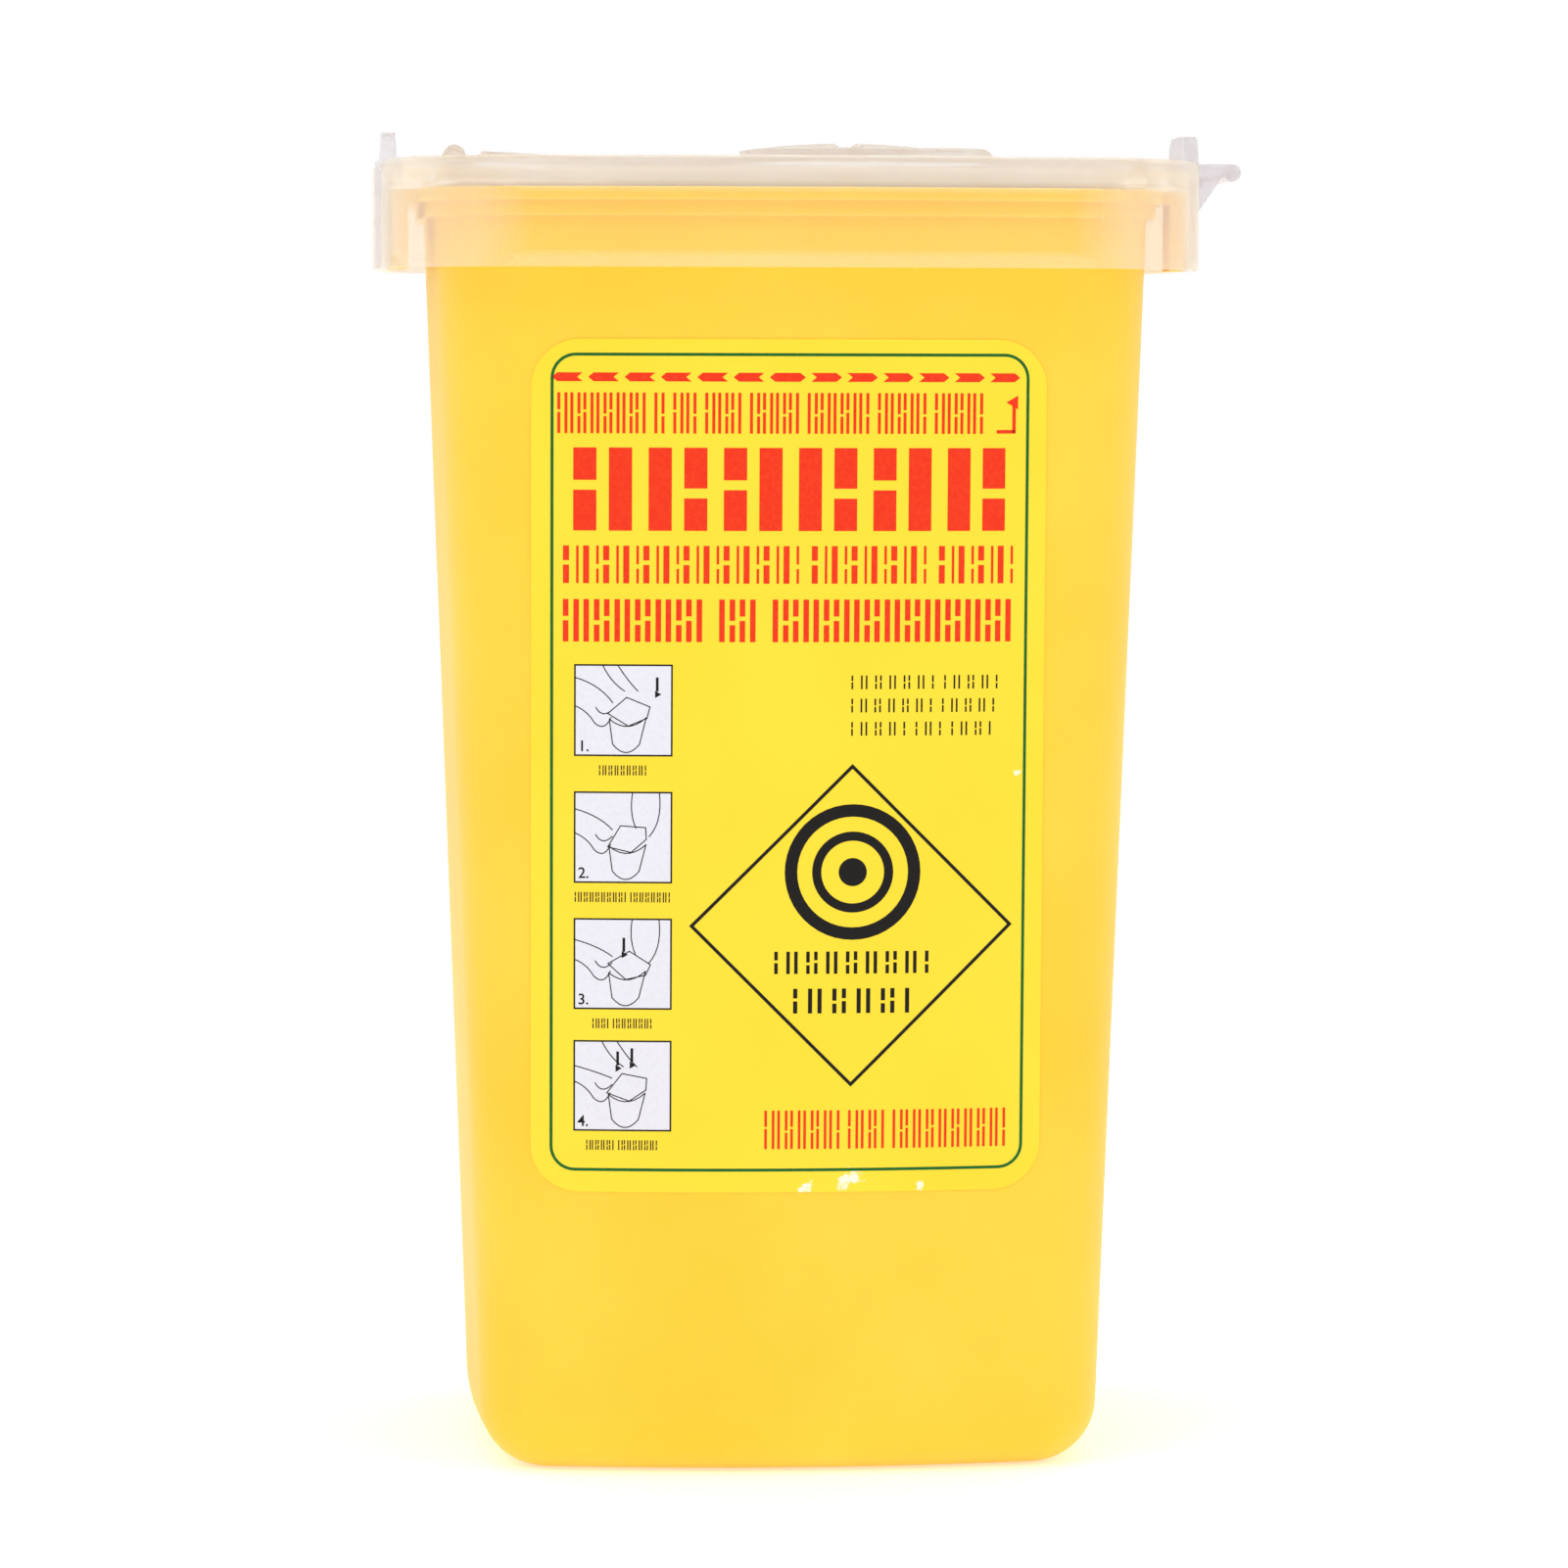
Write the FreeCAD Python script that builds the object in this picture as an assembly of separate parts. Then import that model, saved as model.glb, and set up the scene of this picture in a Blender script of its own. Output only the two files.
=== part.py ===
"""One-litre sharps container: a tapered bin, a clip-on lid, a hinged flap, two side clips and a label.

Every outline is one bowed rectangle, grown or shrunk by an offset, so that walls, rims, skirt and
seal stay parallel to each other. Millimetres, +Z up, origin at the centre of the bin's foot.
+X is the side with the flap's finger tab, and -Y is the side with the label.
"""

import FreeCAD, Part

import math
import os
from FreeCAD import Vector

# ---- Outline at the foot, before draft -------------------------------------------------------
FOOT_WIDTH = 79.5
FOOT_DEPTH = 75.0
FOOT_CORNER_R = 9.0
FACE_BOW_R = 180.0  # the front and back walls bulge a little
SIDE_BOW_R = 320.0  # the side walls bulge less
DRAFT_DEG = 2.0906

# ---- Bin -------------------------------------------------------------------------------------
BIN_HEIGHT = 160.0
BIN_WALL = 1.3
FLOOR = 1.8
FOOT_EDGE_R = 8.0
FLANGE_OUT = 1.9
FLANGE_THICKNESS = 1.6
BEAD_OUT = 1.0
BEAD_HEIGHT = 1.9
LUG_THICKNESS = 1.9
LUG_LENGTH = 11.6

# ---- Lid -------------------------------------------------------------------------------------
LID_RISE = 3.7  # deck above the bin's rim
LID_OVERHANG = 6.4  # skirt beyond the bin wall at the rim
SKIRT_HEIGHT = 13.5
LID_WALL = 1.2
DECK = 1.5
LID_EDGE_R = 1.2
SKIRT_LIP_HEIGHT = 1.5
SKIRT_LIP_IN = 0.7
SEAL_WALL = 1.1
SEAL_DEPTH = 3.8  # how far the seal ring reaches below the rim
SEAL_GAP = 0.5
SEAT_WIDTH = 1.4
SEAT_GAP = 0.3

# ---- Mouth in the lid ------------------------------------------------------------------------
MOUTH_FROM_HINGE = 19.0
MOUTH_FROM_FLAP_END = 8.0
MOUTH_FROM_FLAP_SIDE = 5.0
MOUTH_CORNER_R = 10.0
STRIP_NOTCH_LENGTH = 9.0  # tapered notch that grips a needle hub
STRIP_NOTCH_WIDE = 7.0
STRIP_NOTCH_NARROW = 3.0

# ---- Flap ------------------------------------------------------------------------------------
FLAP_THICKNESS = 1.3
FLAP_WIDTH = 52.0
FLAP_END_INSET = 7.0  # from the lid's right side
FLAP_CORNER_R = 7.0
FLAP_GAP = 0.3  # under the flap
POCKET_GAP = 0.4  # round the flap
PLUG_WALL = 1.0
PLUG_DEPTH = 3.0
PLUG_GAP = 0.4
ROOT_FROM_HINGE = 3.5
ROOT_LENGTH = 15.9
ROOT_RISE = 0.8  # the panel is thicker near the hinge and slopes down to its own level
CROWN_OFFSET = 1.5  # from the middle of the mouth
CROWN_RADIUS = 13.4
CROWN_EDGE = 1.6
CROWN_RISE = 1.0
CROWN_SLOT = 3.0
CROWN_SLOT_DEPTH = 0.8
PAD_FROM_CROWN = 12.3
PAD_LENGTH = 13.6
PAD_WIDTH = 17.0
PAD_HEIGHT = 1.9
TAB_WIDTH = 16.0
TAB_OVERHANG = 7.0  # past the lid's right side
TAB_BEAD_R = 1.1
TAB_RIB = 1.2
TAB_RIB_DROP = 6.4
HOOK_FROM_FLAP_END = 4.3
HOOK_FROM_FLAP_SIDE = 11.0
HOOK_THICKNESS = 1.0
HOOK_WIDTH = 6.0
HOOK_DROP = 4.2
HOOK_NOSE = 0.5
HOOK_NOSE_HEIGHT = 1.5
HOOK_SLOT_GAP = 0.6

# ---- Flap hinge ------------------------------------------------------------------------------
HINGE_INSET = 10.0  # from the lid's left side
HINGE_RISE = 0.4  # axis above the deck
BARREL_R = 1.4
HINGE_ROD_R = 0.7
HINGE_BORE_GAP = 0.06
KNUCKLE_FROM_FLAP_SIDE = 2.4
KNUCKLE_LENGTH = 3.0
KNUCKLE_GAP = 0.3

# ---- Side clips ------------------------------------------------------------------------------
CLIP_Y = -18.0
CLIP_WIDTH = 13.0
CLIP_SLIT = 0.3
CLIP_INNER_GAP = 0.45
CLIP_HEAD_WIDTH = 2.6
CLIP_HEAD_HEIGHT = 2.6
CLIP_PIVOT_DROP = 1.7
CLIP_PIN_R = 0.5
CLIP_PIN_LENGTH = 1.2
CLIP_PIN_GAP = 0.05
EAR_LENGTH = 2.2
EAR_HEIGHT = 3.4
FIN_RISE = 3.3
FIN_TAPER = 0.3  # on each face, from root to top
FIN_SHOULDER_R = 1.6

# ---- Label -----------------------------------------------------------------------------------
LABEL_SIDE_GAP = 8.05  # from each side of the foot
LABEL_RIM_GAP = 18.5
LABEL_FOOT_GAP = 36.0
LABEL_SHIFT_X = -1.2
LABEL_CORNER_R = 6.0
LABEL_FILM = 0.15

# ---- Worked out ------------------------------------------------------------------------------
DRAFT = math.tan(math.radians(DRAFT_DEG))
RIM_GROW = DRAFT * BIN_HEIGHT
RIM_Z = BIN_HEIGHT
DECK_Z = RIM_Z + LID_RISE
SKIRT_Z = DECK_Z - SKIRT_HEIGHT
LID_GROW = RIM_GROW + LID_OVERHANG
LID_HALF = FOOT_WIDTH / 2 + LID_GROW
LID_WIDTH = 2 * LID_HALF
FLAP_TOP_Z = DECK_Z + FLAP_GAP
FLAP_Z = FLAP_TOP_Z - FLAP_THICKNESS
POCKET_Z = FLAP_Z - FLAP_GAP
HINGE_X = HINGE_INSET - LID_HALF
HINGE_Z = DECK_Z + HINGE_RISE
FLAP_END_X = LID_HALF - FLAP_END_INSET
MOUTH_LOW_X = HINGE_X + MOUTH_FROM_HINGE
MOUTH_HIGH_X = FLAP_END_X - MOUTH_FROM_FLAP_END
MOUTH_HALF_WIDTH = FLAP_WIDTH / 2 - MOUTH_FROM_FLAP_SIDE
CROWN_X = (MOUTH_LOW_X + MOUTH_HIGH_X) / 2 + CROWN_OFFSET
PAD_X = CROWN_X + PAD_FROM_CROWN
HOOK_X = FLAP_END_X - HOOK_FROM_FLAP_END
HOOK_Y = FLAP_WIDTH / 2 - HOOK_FROM_FLAP_SIDE
KNUCKLE_Y = FLAP_WIDTH / 2 - KNUCKLE_FROM_FLAP_SIDE
TAB_TIP_X = LID_HALF + TAB_OVERHANG
LUG_GROW = LID_GROW - LID_WALL - CLIP_SLIT
CLIP_PIVOT_Z = DECK_Z - CLIP_PIVOT_DROP
SLACK = 1.0  # how far a cutting tool runs past what it cuts


def outline(grow, z):
    """Closed wire at height z: the foot outline grown outwards by grow. Four wide arcs and four corners."""
    half_x = FOOT_WIDTH / 2 + grow
    half_y = FOOT_DEPTH / 2 + grow
    corner = FOOT_CORNER_R + grow
    side_r = SIDE_BOW_R + grow
    face_r = FACE_BOW_R + grow
    side_centre = half_x - side_r
    face_centre = half_y - face_r
    # The corner's centre is where the two inner circles, face_r - corner and side_r - corner, cross.
    a = Vector(0, face_centre, 0)
    b = Vector(side_centre, 0, 0)
    reach_a = face_r - corner
    reach_b = side_r - corner
    gap = (b - a).Length
    along = (reach_a ** 2 - reach_b ** 2 + gap ** 2) / (2 * gap)
    off = math.sqrt(reach_a ** 2 - along ** 2)
    unit = (b - a).normalize()
    normal = Vector(-unit.y, unit.x, 0)
    centres = [a + unit * along + normal * off * s for s in (1, -1)]
    corner_centre = max(centres, key=lambda c: c.x + c.y)

    to_face = (corner_centre - a).normalize()
    to_side = (corner_centre - b).normalize()
    mid = (to_face + to_side).normalize()
    face_end = corner_centre + to_face * corner
    corner_mid = corner_centre + mid * corner
    side_end = corner_centre + to_side * corner

    def put(point, sx, sy):
        return Vector(point.x * sx, point.y * sy, z)

    front_mid = Vector(0, half_y, 0)
    side_mid = Vector(half_x, 0, 0)
    arcs = [
        (put(side_end, 1, -1), put(side_mid, 1, 1), put(side_end, 1, 1)),
        (put(side_end, 1, 1), put(corner_mid, 1, 1), put(face_end, 1, 1)),
        (put(face_end, 1, 1), put(front_mid, 1, 1), put(face_end, -1, 1)),
        (put(face_end, -1, 1), put(corner_mid, -1, 1), put(side_end, -1, 1)),
        (put(side_end, -1, 1), put(side_mid, -1, 1), put(side_end, -1, -1)),
        (put(side_end, -1, -1), put(corner_mid, -1, -1), put(face_end, -1, -1)),
        (put(face_end, -1, -1), put(front_mid, 1, -1), put(face_end, 1, -1)),
        (put(face_end, 1, -1), put(corner_mid, 1, -1), put(side_end, 1, -1)),
    ]
    return Part.Wire([Part.Arc(*arc).toShape() for arc in arcs])


def straight(grow, z_low, z_high):
    """Upright block on the grown outline."""
    return Part.Face(outline(grow, z_low)).extrude(Vector(0, 0, z_high - z_low))


def drafted(grow, z_low, z_high):
    """Block whose walls lean out with the draft; grow is measured at the foot."""
    low = outline(grow + DRAFT * z_low, z_low)
    high = outline(grow + DRAFT * z_high, z_high)
    return Part.makeLoft([low, high], True, True)


def ring(grow_in, grow_out, z_low, z_high):
    return straight(grow_out, z_low, z_high).cut(straight(grow_in, z_low - SLACK, z_high + SLACK))


def block(x_low, x_high, y_low, y_high, z_low, z_high):
    return Part.makeBox(x_high - x_low, y_high - y_low, z_high - z_low, Vector(x_low, y_low, z_low))


def rod(radius, x, z, y_low, y_high):
    """Cylinder along Y."""
    return Part.makeCylinder(radius, y_high - y_low, Vector(x, y_low, z), Vector(0, 1, 0))


def rounded_slab(x_low, x_high, half_width, corner_r, z_low, z_high):
    """Flat plate with rounded upright corners, centred on the X axis."""
    slab = block(x_low, x_high, -half_width, half_width, z_low, z_high)
    upright = [e for e in slab.Edges if abs(e.Vertexes[0].Z - e.Vertexes[1].Z) > (z_high - z_low) / 2]
    return slab.makeFillet(corner_r, upright)


def flipped(shape):
    """The same shape on the left side."""
    return shape.mirror(Vector(0, 0, 0), Vector(1, 0, 0))


def edges_at(shape, z):
    """Edges that lie wholly in the plane at height z."""
    return [e for e in shape.Edges if abs(e.BoundBox.ZMin - z) < 1e-4 and abs(e.BoundBox.ZMax - z) < 1e-4]


def save(name, shape):
    os.makedirs("parts", exist_ok=True)
    solids = shape.removeSplitter().Solids
    whole = solids[0] if len(solids) == 1 else Part.makeCompound(solids)
    print(name, "solids", len(solids), "valid", whole.isValid(), "volume", round(whole.Volume, 1))
    whole.exportStep(f"parts/{name}.step")


# ---- Bin -------------------------------------------------------------------------------------


def lug():
    """Catch plate that hangs from the rim behind the right clip."""
    y_low = CLIP_Y - LUG_LENGTH / 2
    slab = block(0, LID_WIDTH, y_low, y_low + LUG_LENGTH, SKIRT_Z, RIM_Z)
    plate = ring(LUG_GROW - LUG_THICKNESS, LUG_GROW, SKIRT_Z, RIM_Z)
    bridge = ring(RIM_GROW - BIN_WALL / 2, LUG_GROW, RIM_Z - FLANGE_THICKNESS, RIM_Z)
    return plate.fuse(bridge).common(slab)


def make_bin():
    outer = drafted(0, 0, RIM_Z)
    outer = outer.makeFillet(FOOT_EDGE_R, edges_at(outer, 0))
    flange_z = RIM_Z - FLANGE_THICKNESS
    flange = straight(RIM_GROW + FLANGE_OUT, flange_z, RIM_Z)
    bead = straight(RIM_GROW + BEAD_OUT, flange_z - BEAD_HEIGHT, flange_z)
    outer = outer.fuse([flange, bead, lug(), flipped(lug())])

    cavity = drafted(-BIN_WALL, FLOOR, RIM_Z + SLACK)
    cavity = cavity.makeFillet(FOOT_EDGE_R - BIN_WALL, edges_at(cavity, FLOOR))
    return outer.cut(cavity)


# ---- Clips -----------------------------------------------------------------------------------


def clip_window(slit, inner_gap):
    """Space in the lid's right wall that the clip fills, widened by slit on each side."""
    half = CLIP_WIDTH / 2 + slit
    inner = LID_GROW - CLIP_HEAD_WIDTH - inner_gap
    slab = block(0, LID_WIDTH, CLIP_Y - half, CLIP_Y + half, SKIRT_Z - SLACK, DECK_Z + SLACK)
    return ring(inner, LID_GROW + SLACK, SKIRT_Z - SLACK, DECK_Z + SLACK).common(slab)


def clip_wall_x():
    """X of the lid's outer face halfway along the right clip."""
    bow = SIDE_BOW_R + LID_GROW
    return LID_WIDTH / 2 - bow + math.sqrt(bow ** 2 - CLIP_Y ** 2)


def clip_pivot_x():
    return clip_wall_x() - CLIP_HEAD_WIDTH / 2


def fin():
    """Finger fin on top of the right clip, thinner and rounder towards its top."""
    y_low = CLIP_Y - CLIP_WIDTH / 2
    out_x = clip_wall_x() - FIN_TAPER / 2
    in_x = out_x - CLIP_HEAD_WIDTH + FIN_TAPER
    top = DECK_Z + FIN_RISE
    root = DECK_Z - CLIP_HEAD_HEIGHT / 2
    corners = [(in_x, root), (out_x, root), (out_x - FIN_TAPER, top), (in_x + FIN_TAPER, top), (in_x, root)]
    face = Part.Face(Part.makePolygon([Vector(x, y_low, z) for x, z in corners]))
    shape = face.extrude(Vector(0, CLIP_WIDTH, 0))
    across = [e for e in shape.Edges if e.BoundBox.ZMin > top - 1e-4 and e.BoundBox.YLength < 1e-4]
    return shape.makeFillet(FIN_SHOULDER_R, across)


def make_clip():
    """Right clip: a tongue of the skirt with a fin above it, turning on a short pin at each side."""
    tongue = ring(LID_GROW - LID_WALL, LID_GROW, SKIRT_Z, DECK_Z)
    head = ring(LID_GROW - CLIP_HEAD_WIDTH, LID_GROW, DECK_Z - CLIP_HEAD_HEIGHT, DECK_Z)
    body = tongue.fuse(head).common(clip_window(0, 0))
    reach = CLIP_WIDTH / 2 + CLIP_PIN_LENGTH
    pin = rod(CLIP_PIN_R, clip_pivot_x(), CLIP_PIVOT_Z, CLIP_Y - reach, CLIP_Y + reach)
    return body.fuse([fin(), pin])


# ---- Lid -------------------------------------------------------------------------------------


def mouth(shrink, z_low, z_high):
    """Block the shape of the drop opening, shrunk all round."""
    half_width = MOUTH_HALF_WIDTH - shrink
    corner_r = MOUTH_CORNER_R - shrink
    return rounded_slab(MOUTH_LOW_X + shrink, MOUTH_HIGH_X - shrink, half_width, corner_r, z_low, z_high)


def strip_notch(z_low, z_high):
    """Tapered notch off the mouth's hinge end, with a round seat at its narrow end."""
    wide_x = MOUTH_LOW_X + SLACK
    narrow_x = MOUTH_LOW_X - STRIP_NOTCH_LENGTH
    wide, narrow = STRIP_NOTCH_WIDE / 2, STRIP_NOTCH_NARROW / 2
    corners = [(wide_x, -wide), (wide_x, wide), (narrow_x, narrow), (narrow_x, -narrow), (wide_x, -wide)]
    wedge = Part.Face(Part.makePolygon([Vector(x, y, z_low) for x, y in corners]))
    wedge = wedge.extrude(Vector(0, 0, z_high - z_low))
    seat = Part.makeCylinder(narrow, z_high - z_low, Vector(narrow_x, 0, z_low))
    return wedge.fuse(seat)


def flap_space(gap, z_low, z_high):
    """Plan shape of the flap, its barrel and its tab, grown by gap. The corners by the hinge are square."""
    half = FLAP_WIDTH / 2 + gap
    barrel_x = HINGE_X - BARREL_R - gap
    panel = rounded_slab(barrel_x, FLAP_END_X + gap, half, FLAP_CORNER_R + gap, z_low, z_high)
    hinge_end = block(barrel_x, CROWN_X, -half, half, z_low, z_high)
    tab = block(CROWN_X, LID_WIDTH, -TAB_WIDTH / 2 - gap, TAB_WIDTH / 2 + gap, z_low, z_high)
    return panel.fuse([hinge_end, tab])


def hook_slot(side):
    x_low = HOOK_X - HOOK_THICKNESS / 2 - HOOK_SLOT_GAP
    x_high = HOOK_X + HOOK_THICKNESS / 2 + HOOK_NOSE + HOOK_SLOT_GAP
    half = HOOK_WIDTH / 2 + HOOK_SLOT_GAP
    middle = side * HOOK_Y
    return block(x_low, x_high, middle - half, middle + half, POCKET_Z - DECK - SLACK, POCKET_Z + SLACK)


def knuckle(side):
    """Upright post with a bore for the flap's rod."""
    y_low = side * KNUCKLE_Y - KNUCKLE_LENGTH / 2
    y_high = y_low + KNUCKLE_LENGTH
    post = block(HINGE_X - BARREL_R, HINGE_X + BARREL_R, y_low, y_high, POCKET_Z - DECK / 2, HINGE_Z)
    return post.fuse(rod(BARREL_R, HINGE_X, HINGE_Z, y_low, y_high))


def ears():
    """Thick spots inside the right wall at both ends of the clip, which hold its pins."""
    half = CLIP_WIDTH / 2 + CLIP_SLIT
    plate = ring(
        LID_GROW - CLIP_HEAD_WIDTH, LID_GROW - LID_WALL / 2, DECK_Z - EAR_HEIGHT, DECK_Z - DECK / 2
    )
    low = block(0, LID_WIDTH, CLIP_Y - half - EAR_LENGTH, CLIP_Y - half, SKIRT_Z, DECK_Z)
    high = block(0, LID_WIDTH, CLIP_Y + half, CLIP_Y + half + EAR_LENGTH, SKIRT_Z, DECK_Z)
    return plate.common(low.fuse(high))


def make_lid():
    outer = straight(LID_GROW, SKIRT_Z, DECK_Z)
    outer = outer.makeFillet(LID_EDGE_R, edges_at(outer, DECK_Z))
    inside = straight(LID_GROW - LID_WALL, SKIRT_Z - SLACK, DECK_Z - DECK)
    shell = outer.cut(inside)

    inner_grow = LID_GROW - LID_WALL
    lip = ring(inner_grow - SKIRT_LIP_IN, inner_grow + LID_WALL / 2, SKIRT_Z, SKIRT_Z + SKIRT_LIP_HEIGHT)
    rim_inner = RIM_GROW - BIN_WALL
    seal_grow = rim_inner - SEAL_GAP
    under_deck = DECK_Z - DECK / 2
    seal = ring(seal_grow - SEAL_WALL, seal_grow, RIM_Z - SEAL_DEPTH, under_deck)
    seat = ring(seal_grow - SEAL_WALL / 2, rim_inner + SEAT_WIDTH, RIM_Z + SEAT_GAP, under_deck)
    tray = flap_space(POCKET_GAP + LID_WALL, POCKET_Z - DECK, DECK_Z - DECK / 2)
    tray = tray.common(straight(LID_GROW - LID_WALL / 2, POCKET_Z - DECK, DECK_Z))
    shell = shell.fuse([lip, seal, seat, tray, ears(), flipped(ears())])

    window = clip_window(CLIP_SLIT, CLIP_INNER_GAP)
    reach = CLIP_WIDTH / 2 + CLIP_PIN_LENGTH + CLIP_SLIT
    bore = rod(CLIP_PIN_R + CLIP_PIN_GAP, clip_pivot_x(), CLIP_PIVOT_Z, CLIP_Y - reach, CLIP_Y + reach)
    cuts = [
        flap_space(POCKET_GAP, POCKET_Z, DECK_Z + SLACK),
        mouth(0, POCKET_Z - DECK - SLACK, POCKET_Z + SLACK),
        strip_notch(POCKET_Z - DECK - SLACK, POCKET_Z + SLACK),
        hook_slot(-1),
        hook_slot(1),
        window,
        flipped(window),
        bore,
        flipped(bore),
    ]
    shell = shell.cut(cuts)
    shell = shell.fuse([knuckle(-1), knuckle(1)])
    # The bore stops inside the pocket, so that it leaves the deck beyond it whole.
    half = FLAP_WIDTH / 2
    return shell.cut(rod(HINGE_ROD_R + HINGE_BORE_GAP, HINGE_X, HINGE_Z, -half, half))


# ---- Flap ------------------------------------------------------------------------------------


def crown():
    """Crowned round boss with a straight slot across it."""
    sphere_r = (CROWN_RADIUS ** 2 + CROWN_RISE ** 2) / (2 * CROWN_RISE)
    top = FLAP_TOP_Z + CROWN_EDGE + CROWN_RISE
    root = FLAP_Z + FLAP_THICKNESS / 2
    drum = Part.makeCylinder(CROWN_RADIUS, top - root, Vector(CROWN_X, 0, root))
    ball = Part.makeSphere(sphere_r, Vector(CROWN_X, 0, top - sphere_r))
    boss = drum.common(ball)
    slot = block(
        CROWN_X - CROWN_SLOT / 2,
        CROWN_X + CROWN_SLOT / 2,
        -CROWN_RADIUS - SLACK,
        CROWN_RADIUS + SLACK,
        top - CROWN_SLOT_DEPTH,
        top + SLACK,
    )
    return boss.cut(slot)


def root_wedge(half_width):
    """Thicker strip of the panel beside the hinge, sloping down to the panel's own level."""
    low = FLAP_Z + FLAP_THICKNESS / 2
    top = FLAP_TOP_Z + ROOT_RISE
    start_x = HINGE_X + ROOT_FROM_HINGE
    end_x = start_x + ROOT_LENGTH
    corners = [(start_x, low), (start_x, top), (end_x, FLAP_TOP_Z), (end_x, low)]
    corners.append(corners[0])
    face = Part.Face(Part.makePolygon([Vector(x, -half_width, z) for x, z in corners]))
    return face.extrude(Vector(0, 2 * half_width, 0))


def thumb_pad():
    """Low rounded pad beside the crown, where a thumb presses the flap shut."""
    root = FLAP_Z + FLAP_THICKNESS / 2
    slab = rounded_slab(
        PAD_X - PAD_LENGTH / 2,
        PAD_X + PAD_LENGTH / 2,
        PAD_WIDTH / 2,
        PAD_LENGTH * 0.45,
        root,
        FLAP_TOP_Z + PAD_HEIGHT,
    )
    return slab.makeFillet(PAD_HEIGHT * 0.7, edges_at(slab, FLAP_TOP_Z + PAD_HEIGHT))


def tab_rib(side):
    """Triangular web under the finger tab."""
    start_x = LID_HALF + POCKET_GAP
    outer_y = side * TAB_WIDTH / 2
    corners = [
        Vector(start_x, outer_y, FLAP_Z + FLAP_THICKNESS / 2),
        Vector(TAB_TIP_X - 2 * TAB_BEAD_R, outer_y, FLAP_Z + FLAP_THICKNESS / 2),
        Vector(TAB_TIP_X - 2 * TAB_BEAD_R, outer_y, FLAP_Z),
        Vector(start_x, outer_y, FLAP_Z - TAB_RIB_DROP),
        Vector(start_x, outer_y, FLAP_Z + FLAP_THICKNESS / 2),
    ]
    return Part.Face(Part.makePolygon(corners)).extrude(Vector(0, -side * TAB_RIB, 0))


def hook(side):
    """Barbed tongue for the final closure; it hangs through a slot in the lid."""
    middle = side * HOOK_Y
    x_low = HOOK_X - HOOK_THICKNESS / 2
    low_z = FLAP_Z - HOOK_DROP
    corners = [
        (x_low, FLAP_Z + FLAP_THICKNESS / 2),
        (x_low + HOOK_THICKNESS, FLAP_Z + FLAP_THICKNESS / 2),
        (x_low + HOOK_THICKNESS, low_z + HOOK_NOSE_HEIGHT),
        (x_low + HOOK_THICKNESS + HOOK_NOSE, low_z + HOOK_NOSE_HEIGHT),
        (x_low + HOOK_THICKNESS / 2, low_z),
        (x_low, low_z),
        (x_low, FLAP_Z + FLAP_THICKNESS / 2),
    ]
    face = Part.Face(Part.makePolygon([Vector(x, middle - HOOK_WIDTH / 2, z) for x, z in corners]))
    return face.extrude(Vector(0, HOOK_WIDTH, 0))


def make_flap():
    panel = rounded_slab(HINGE_X, FLAP_END_X, FLAP_WIDTH / 2, FLAP_CORNER_R, FLAP_Z, FLAP_TOP_Z)
    tab_end = TAB_TIP_X - TAB_BEAD_R
    tab = block(CROWN_X, tab_end, -TAB_WIDTH / 2, TAB_WIDTH / 2, FLAP_Z, FLAP_TOP_Z)
    bead_z = FLAP_TOP_Z - TAB_BEAD_R
    bead = rod(TAB_BEAD_R, tab_end, bead_z, -TAB_WIDTH / 2, TAB_WIDTH / 2)
    plug = mouth(PLUG_GAP, FLAP_Z - PLUG_DEPTH, FLAP_Z + FLAP_THICKNESS / 2)
    plug = plug.cut(mouth(PLUG_GAP + PLUG_WALL, FLAP_Z - PLUG_DEPTH - SLACK, FLAP_Z))

    barrel_half = KNUCKLE_Y - KNUCKLE_LENGTH / 2 - KNUCKLE_GAP
    clear_half = KNUCKLE_Y + KNUCKLE_LENGTH / 2 + KNUCKLE_GAP
    # The panel steps back where the lid's knuckles stand.
    step_x = HINGE_X + BARREL_R + KNUCKLE_GAP
    gaps = [
        block(HINGE_X - SLACK, step_x, low, high, FLAP_Z - SLACK, FLAP_TOP_Z + SLACK)
        for low, high in ((-FLAP_WIDTH, -barrel_half), (barrel_half, FLAP_WIDTH))
    ]
    leaf = block(HINGE_X, HINGE_X + BARREL_R, -barrel_half, barrel_half, FLAP_Z, HINGE_Z)
    barrel = rod(BARREL_R, HINGE_X, HINGE_Z, -barrel_half, barrel_half)
    pin = rod(HINGE_ROD_R, HINGE_X, HINGE_Z, -clear_half, clear_half)
    panel = panel.cut(gaps)
    panel = panel.fuse([tab, bead, plug, crown(), thumb_pad(), root_wedge(barrel_half)])
    return panel.fuse([tab_rib(-1), tab_rib(1), hook(-1), hook(1), leaf, barrel, pin])


# ---- Label -----------------------------------------------------------------------------------


def make_label():
    """Printed film that lies on the bowed, leaning front wall."""
    half_width = FOOT_WIDTH / 2 - LABEL_SIDE_GAP
    x_low = LABEL_SHIFT_X - half_width
    x_high = LABEL_SHIFT_X + half_width
    sheet = block(x_low, x_high, -FOOT_DEPTH, 0, LABEL_FOOT_GAP, RIM_Z - LABEL_RIM_GAP)
    along_y = [e for e in sheet.Edges if e.BoundBox.YLength > FOOT_DEPTH / 2]
    sheet = sheet.makeFillet(LABEL_CORNER_R, along_y)
    film = drafted(LABEL_FILM, 0, RIM_Z).cut(drafted(0, 0, RIM_Z))
    return film.common(sheet)


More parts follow.
